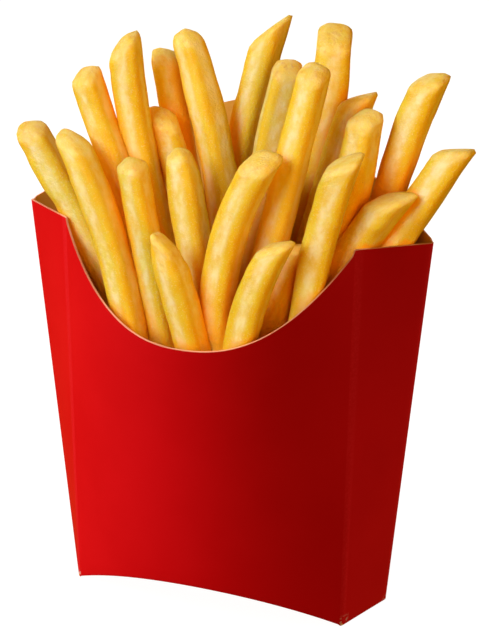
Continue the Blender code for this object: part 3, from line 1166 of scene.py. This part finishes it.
@dataclass
class FryBundle:
    """All the fries: a table of them, and the Geometry Nodes that turn one vertex into one fry."""

    shape: CartonShape
    foot_height: float = 62.0
    sides: int = 28
    rows: int = 38
    cap_rings: int = 3
    body_share: float = 0.72
    end_zone: float = 11.0 * MM
    end_most: float = 0.4
    tip_zone: float = 4.5 * MM
    taper_share: float = 0.17
    round_share: float = 0.7
    flat_least: float = 0.2
    dome: float = 0.35 * MM
    squareness: float = 3.3
    face_sink: float = 0.03
    waver: float = 0.8 * MM
    waver_pattern: Pattern = (38.0, 1.0)
    swell: float = 0.16
    swell_pattern: Pattern = (60.0, 1.0)
    dent: float = 0.22
    dent_pattern: Pattern = (190.0, 2.0)
    twist: float = 10.0
    twist_centre: float = 0.8
    thick: Pair = (0.93, 1.04)
    pattern_spread: float = 20.0
    tone_stray: float = 0.12
    browning_stray: float = 0.15
    clearance: float = 0.8 * MM
    lean: float = 5.0 * MM
    near: float = 16.0 * MM
    skin: float = 0.25 * MM
    ray_tilts: tuple[Pair, ...] = ((0.7, 0.0), (1.15, 0.5))
    ray_spokes: int = 6
    seed: int = 3
    finish: FriedPotato = FriedPotato()

    def table(self) -> list[Fry]:
        """Every fry, standing, behind and deeper."""
        behind = BackRows().fries(self.shape, self.foot_height)
        return [*STANDING, *behind, *PackedRows().fries(self.shape)]

    def row(self, fry: Fry, move: Vector, chance: random.Random) -> dict[str, Any]:
        """What one fry's foot carries.

        Args:
            fry: The fry.
            move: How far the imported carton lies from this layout.
            chance: What each fry's own small differences are drawn from.

        Returns:
            The foot's vectors and numbers, by name.
        """
        foot, tip = Vector((*fry.foot, self.foot_height)) * MM, Vector(fry.tip) * MM
        chord = tip - foot
        return {
            "foot": foot + move,
            "tip_place": tip + move,
            "bend": Vector((chord.z, 0, -chord.x)).normalized() * fry.bow * MM,
            "stray": Vector([chance.uniform(0, self.pattern_spread) for _ in range(3)]),
            "half": fry.width * MM / 2,
            "thick": chance.uniform(*self.thick),
            "turn": math.radians(fry.turn),
            "twist": math.radians(chance.uniform(-self.twist, self.twist)),
            "slant": math.tan(math.radians(fry.slant)),
            "lean": math.tan(math.radians(fry.lean)),
            "taper": fry.taper,
            "nose": fry.nose * MM,
            "tone": fry.tone + chance.uniform(-self.tone_stray, self.tone_stray),
            "browning": fry.browning + chance.uniform(-self.browning_stray, self.browning_stray),
        }

    def feet(self) -> Object:
        """One vertex at each fry's foot, carrying the fry's sizes as attributes.

        Returns:
            The object that holds the feet.
        """
        chance, move = random.Random(self.seed), self.shape.offset()
        rows = [self.row(fry, move, chance) for fry in self.table()]
        mesh = bpy.data.meshes.new("feet")
        mesh.vertices.add(len(rows))
        for vertex, row in zip(mesh.vertices, rows):
            vertex.co = row["foot"]
        for name, sample in rows[0].items():
            values = [row[name] for row in rows]
            if isinstance(sample, Vector):
                layer = mesh.attributes.new(name, "FLOAT_VECTOR", "POINT")
                layer.data.foreach_set("vector", [part for value in values for part in value])
            else:
                mesh.attributes.new(name, "FLOAT", "POINT").data.foreach_set("value", values)
        return new_object("feet", mesh)

    def sizes(self) -> dict[str, float]:
        """The tree's named inputs.

        Returns:
            This bundle's values, by input.
        """
        return {
            "End Zone": self.end_zone,
            "Taper Share": self.taper_share,
            "Round Share": self.round_share,
            "Dome": self.dome,
            "Squareness": self.squareness,
            "Face Sink": self.face_sink,
            "Waver": self.waver,
            "Swell": self.swell,
            "Dent": self.dent,
        }

    def tree(self, potato: Material) -> NodeTree:
        """The Geometry Nodes that stand one bar on each foot and shape it.

        Args:
            potato: The material that every fry gets.

        Returns:
            The tree, with a named input for each size.
        """
        tree = bpy.data.node_groups.new("cut_fries", "GeometryNodeTree")
        tree.interface.new_socket(name="Feet", in_out="INPUT", socket_type="NodeSocketGeometry")
        for name, value in self.sizes().items():
            socket = tree.interface.new_socket(name=name, in_out="INPUT", socket_type="NodeSocketFloat")
            socket.default_value = value
        tree.interface.new_socket(name="Fries", in_out="OUTPUT", socket_type="NodeSocketGeometry")
        bench = NodeBench(tree)
        given = bench.add("NodeGroupInput").outputs
        counts = {"Vertices": self.sides, "Side Segments": self.rows, "Fill Segments": self.cap_rings}
        inputs = {**counts, "Radius": 1.0, "Depth": 2 * HALF_BAR}
        bar = bench.add("GeometryNodeMeshCylinder", inputs, fill_type="TRIANGLE_FAN").outputs["Mesh"]
        bar = bench.store(bar, "bar_place", bench.add("GeometryNodeInputPosition").outputs[0], vector=True)
        stood = bench.add("GeometryNodeInstanceOnPoints", {"Points": given["Feet"], "Instance": bar})
        fries = bench.add("GeometryNodeRealizeInstances", {"Geometry": stood.outputs[0]}).outputs[0]
        for name, (field, vector) in BarShaper(bench, given, self).fields().items():
            fries = bench.store(fries, name, field, vector)
        for kind, inputs in (
            ("SetPosition", {"Position": bench.stored("shaped", vector=True)}),
            ("SetShadeSmooth", {"Shade Smooth": True}),
            ("RealizeInstances", {}),
            ("SetMaterial", {"Material": potato}),
        ):
            fries = bench.add("GeometryNode" + kind, {"Geometry": fries, **inputs}).outputs[0]
        bench.add("NodeGroupOutput", {"Fries": fries})
        return tree

    def settle(self, mesh: Mesh) -> None:
        """Presses what would pass through the board back inside it, as fries lean on a carton.

        Args:
            mesh: The fries, in their place, whose points are moved.
        """
        move = self.shape.offset()
        places = np.empty(len(mesh.vertices) * 3, np.float32)
        mesh.vertices.foreach_get("co", places)
        x, y, z = (places.reshape(-1, 3) - np.array(move, np.float32)).T
        low, high = self.shape.room(x, z, self.clearance)
        # The press is full up to the rim, and eases off above it.
        pressed = np.clip(1 - (z - self.shape.rim_over(x, y)) / self.lean, 0.0, 1.0)
        places.reshape(-1, 3)[:, 1] = y + (np.clip(y, low, high) - y) * pressed + move.y
        mesh.vertices.foreach_set("co", places)
        mesh.update()

    def rays(self, normal: Vector) -> list[Vector]:
        """Directions spread round a surface's normal.

        Args:
            normal: The normal.

        Returns:
            The normal, then rings of spokes that tilt away from it.
        """
        aside = normal.orthogonal().normalized()
        rays = [normal]
        for tilt, turn in self.ray_tilts:
            for step in range(self.ray_spokes):
                spoke = aside.copy()
                spoke.rotate(Quaternion(normal, 2 * math.pi * step / self.ray_spokes + turn))
                rays.append(normal * math.cos(tilt) + spoke * math.sin(tilt))
        return rays

    def paint_gap_shade(self, mesh: Mesh, carton: Mesh) -> None:
        """Paints shade: how closely each point faces another fry or the board, as painted shade in the gaps.

        Args:
            mesh: The fries, in their place, which gain the attribute of painted shade.
            carton: The board round them.
        """
        first = len(mesh.vertices)
        faces = [tuple(face.vertices) for face in mesh.polygons]
        faces += [tuple(first + point for point in face.vertices) for face in carton.polygons]
        tree = BVHTree.FromPolygons([v.co for v in (*mesh.vertices, *carton.vertices)], faces)
        gap_shade = np.zeros(len(mesh.vertices), np.float32)
        for vertex in mesh.vertices:
            start = vertex.co + vertex.normal * self.skin
            rays = self.rays(vertex.normal)
            hits = [tree.ray_cast(start, ray, self.near)[3] for ray in rays]
            gap_shade[vertex.index] = sum(1.0 - hit / self.near for hit in hits if hit is not None) / len(rays)
        mesh.attributes.new("gap_shade", "FLOAT", "POINT").data.foreach_set("value", gap_shade)

    def build(self, carton: Mesh) -> Object:
        """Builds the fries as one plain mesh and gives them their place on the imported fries.

        Args:
            carton: The board that they stand in.

        Returns:
            The finished fries.
        """
        feet = self.feet()
        tree = self.tree(self.finish.make())
        cutter = feet.modifiers.new("cut_fries", "NODES")
        cutter.node_group = tree
        sizes = self.sizes()
        for socket in tree.interface.items_tree:
            if socket.in_out == "INPUT" and socket.name in sizes:
                cutter[socket.identifier] = sizes[socket.name]
        fries = made_real("cut_fries", feet)
        self.settle(fries.data)
        # Paints shade into the fries where they face each other or the board.
        self.paint_gap_shade(fries.data, carton)
        kept = {"position", "run", "corner", "tip", "tone", "browning", "gap_shade"}
        layers = fries.data.attributes
        for name in [layer.name for layer in layers if layer.domain == "POINT" and layer.name not in kept]:
            layers.remove(layers[name])
        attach(fries, BODY)
        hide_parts(Stock.FRIES.node)
        return fries


@dataclass
class PackedCore:
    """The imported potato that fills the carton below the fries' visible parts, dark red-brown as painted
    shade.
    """

    shape: CartonShape
    columns: int = 48
    rows: int = 10
    depth_steps: int = 16
    inset: float = 1.0 * MM
    margin_most: float = 0.4
    heights: Pair = (69.0 * MM, 84.0 * MM)
    bump: float = 1.6 * MM
    bump_size: float = 160.0
    # Painted shade: a dark red-brown for the depths seen between the fries.
    finish: PlainFinish = PlainFinish("packed_potato_in_painted_shade", (0.75, 0.2, 0.012), (0.5, 0.09, 0.006))

    def place(self, across: float, depth: float, share: float) -> Vector:
        """A point of the core, a little in from the board.

        Args:
            across: From -1 to 1 between the sides.
            depth: From 0 at the front to 1 at the back.
            share: From 0 at the base to 1 at the top.

        Returns:
            The point.
        """
        across = across * (1 - self.inset / self.shape.front_half_width[0])
        low = self.shape.base(across) + self.inset
        height = between((low, between(self.heights, depth)), share)
        margin = min(self.margin_most, self.inset / self.shape.depth(across, height))
        return self.shape.point(across, between((margin, 1 - margin), depth), height)

    def outline(self) -> list[Pair]:
        """The places round the core.

        Returns:
            Each place across and in depth.
        """
        across = [2 * i / self.columns - 1 for i in range(self.columns)]
        depths = [i / self.depth_steps for i in range(self.depth_steps)]
        front, back = [(a, 0.0) for a in across], [(-a, 1.0) for a in across]
        return front + [(1.0, d) for d in depths] + back + [(-1.0, 1 - d) for d in depths]

    def build(self) -> Object:
        """Builds the core as one closed body with a lumpy top.

        Returns:
            The finished core.
        """
        bm = bmesh.new()
        outline, shares = self.outline(), [row / self.rows for row in range(self.rows + 1)]
        rings = [[bm.verts.new(self.place(*spot, share)) for spot in outline] for share in shares]
        wrap(bm, rings)
        self.lid(bm, rings[0], 0.0)
        self.lid(bm, rings[-1], 1.0)
        mesh = mesh_of(bm, "packed_core", self.shape.offset())
        mesh.materials.append(self.finish.make())
        mesh.shade_smooth()
        core = new_object("packed_core", mesh)
        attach(core, BODY)
        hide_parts(Stock.FRIES.node)
        return core

    def lid(self, bm: BMesh, ring: list, share: float) -> None:
        """Closes one end with a grid from front to back; the top one is lumpy.

        Args:
            bm: The mesh.
            ring: The end's ring of vertices.
            share: 0 for the bottom, 1 for the top.
        """
        start = self.columns + self.depth_steps
        rows = []
        for i in range(self.columns + 1):
            row = [ring[i]]
            for step in range(1, self.depth_steps):
                if i == 0:
                    row.append(ring[-step])
                elif i == self.columns:
                    row.append(ring[self.columns + step])
                else:
                    spot = self.place(2 * i / self.columns - 1, step / self.depth_steps, share)
                    lump = smooth_noise(spot * self.bump_size) * self.bump * share
                    row.append(bm.verts.new(spot + Vector((0, 0, lump))))
            rows.append([*row, ring[(start + self.columns - i) % len(ring)]])
        pave(bm, rows[::-1])


@dataclass(frozen=True)
class Lamp:
    """One soft panel of light, placed by angles round what it lights."""

    name: str
    azimuth: float
    elevation: float
    distance: float
    size: float
    power: float
    receiver: Receiver
    colour: Colour = (1.0, 1.0, 1.0)

    def hang(self, target: Vector, receivers: dict[Receiver, Collection]) -> None:
        """Makes the lamp and points it at the target.

        Args:
            target: The point that it faces.
            receivers: What the lamps for the board and for the food light.
        """
        light = bpy.data.lights.new(self.name, "AREA")
        light.shape = "DISK"
        light.size = self.size
        light.energy = self.power
        light.color = self.colour
        lamp = aimed(self.name, light, target, self.azimuth, self.elevation, self.distance)
        lamp.light_linking.receiver_collection = receivers[self.receiver]


def aimed(name: str, data: Any, target: Vector, azimuth: float, elevation: float, distance: float) -> Object:
    """Links a camera or a lamp that faces a point.

    Args:
        name: Its name.
        data: The camera's or the lamp's data.
        target: The point.
        azimuth: Its angle round the object, in degrees: 0 is towards -Y and 90 towards +X.
        elevation: Its angle above the level, in degrees.
        distance: How far it is from the point.

    Returns:
        The object.
    """
    a, e = math.radians(azimuth), math.radians(elevation)
    towards = Vector((math.sin(a) * math.cos(e), -math.cos(a) * math.cos(e), math.sin(e)))
    made = bpy.data.objects.new(name, data)
    made.location = target + towards * distance
    made.rotation_euler = (target - made.location).to_track_quat("-Z", "Y").to_euler()
    bpy.context.scene.collection.objects.link(made)
    return made


@dataclass
class Studio:
    """The camera, the pale floor with its backdrop, and soft light."""

    azimuth: float = 18.07
    elevation: float = 23.34
    distance: float = 367.8 * MM
    lens: float = 80.235
    aim_height: float = 81.18 * MM
    aim_aside: float = 7.72 * MM
    flat_radius: float = 2.0
    curve_radius: float = 1.0
    curve_steps: int = 10
    backdrop_height: float = 4.0
    round_steps: int = 64
    floor_colour: Colour = (0.2, 0.2, 0.2)
    floor_glow: float = 0.97
    ambient: float = 0.22
    bounce: Colour = (1.0, 0.52, 0.02)
    lamps: tuple[Lamp, ...] = (
        Lamp("key", -62.0, 38.0, 1.0, 0.55, 5.5, Receiver.BOARD),
        Lamp("low_left", -55.0, 0.0, 0.8, 0.3, 2.5, Receiver.BOARD),
        Lamp("right_back", 112.0, -4.0, 0.8, 0.3, 2.0, Receiver.BOARD),
        Lamp("overhead", 20.0, 86.0, 1.0, 0.4, 4.0, Receiver.BOARD),
        Lamp("food_key", -25.0, 32.0, 1.0, 0.6, 9.9, Receiver.FOOD, (0.73, 0.90, 1.0)),
        Lamp("food_fill", 45.0, 15.0, 1.0, 0.8, 5.6, Receiver.FOOD, (1.0, 0.46, 0.01)),
        Lamp("food_left", -90.0, 5.0, 1.0, 0.8, 6.5, Receiver.FOOD, (1.0, 0.42, 0.01)),
        Lamp("food_back", 200.0, 30.0, 1.0, 0.8, 3.0, Receiver.FOOD, (1.0, 0.78, 0.4)),
    )

    def camera(self, shape: CartonShape) -> None:
        """Makes the scene's camera.

        Args:
            shape: The carton that it looks at.
        """
        offset = shape.offset()
        target = Vector((offset.x + self.aim_aside, offset.y, self.aim_height))
        lens = bpy.data.cameras.new("camera")
        lens.lens = self.lens
        camera = aimed("camera", lens, target, self.azimuth, self.elevation, self.distance)
        bpy.context.scene.camera = camera

    def floor(self) -> Object:
        """Makes a wide pale floor that curves up into a backdrop all round.

        Returns:
            The floor.
        """
        bm = bmesh.new()
        flat, curve = self.flat_radius, self.curve_radius
        angles = [math.pi / 2 * i / self.curve_steps for i in range(1, self.curve_steps + 1)]
        profile = [(0.0, 0.0), (flat, 0.0)]
        profile += [(flat + curve * math.sin(a), curve * (1 - math.cos(a))) for a in angles]
        profile.append((flat + curve, self.backdrop_height))
        verts = [bm.verts.new((x, 0, z)) for x, z in profile]
        line = verts + [bm.edges.new(pair) for pair in zip(verts, verts[1:])]
        bmesh.ops.spin(bm, geom=line, axis=(0, 0, 1), angle=2 * math.pi, steps=self.round_steps)
        mesh = mesh_of(bm, "studio_floor", Vector())
        mesh.flip_normals()
        mesh.shade_smooth()
        made, bench, shader = new_material("pale_floor")
        glow = {"Emission Color": (1.0, 1.0, 1.0, 1.0), "Emission Strength": self.floor_glow}
        plain = {"Base Color": (*self.floor_colour, 1.0), "Roughness": 1.0, "Specular IOR Level": 0.0}
        bench.fill(shader, {**plain, **glow})
        mesh.materials.append(made)
        floor = new_object("studio_floor", mesh)
        floor.visible_diffuse = False
        floor.visible_glossy = False
        return floor

    def light(self, lit: dict[Receiver, Iterable[Object]]) -> None:
        """Sets the even light from all round, and hangs the lamps.

        Args:
            lit: The pieces that the lamps for the board and for the food light.
        """
        receivers = {}
        for receiver, pieces in lit.items():
            receivers[receiver] = bpy.data.collections.new(receiver.value)
            for piece in pieces:
                receivers[receiver].objects.link(piece)
        world = bpy.data.worlds.new("studio")
        bpy.context.scene.world = world
        world.use_nodes = True
        even = {"Color": (*self.bounce, 1.0), "Strength": self.ambient}
        NodeBench(world.node_tree).fill(world.node_tree.nodes["Background"], even)
        for lamp in self.lamps:
            lamp.hang(Vector((0, 0, self.aim_height)), receivers)
        bpy.context.scene.view_settings.view_transform = "Standard"


def report(pieces: Iterable[Object]) -> None:
    """Logs each piece's name, faces and size.

    Args:
        pieces: The finished pieces.
    """
    for piece in pieces:
        size = " x ".join(f"{side / MM:.1f}" for side in piece.dimensions)
        log.info("%s: %d faces, %s mm", piece.name, len(piece.data.polygons), size)


def main() -> None:
    """Builds the studio and the pieces."""
    logging.basicConfig(level=logging.INFO, format="%(name)s: %(message)s")
    shape = CartonShape()
    studio = Studio()
    studio.camera(shape)
    floor = studio.floor()
    carton = CartonBoard(shape).build()
    food = [FryBundle(shape).build(carton.data), PackedCore(shape).build()]
    studio.light({Receiver.BOARD: [carton, floor], Receiver.FOOD: food})
    report([carton, *food])


if __name__ == "__main__":
    main()
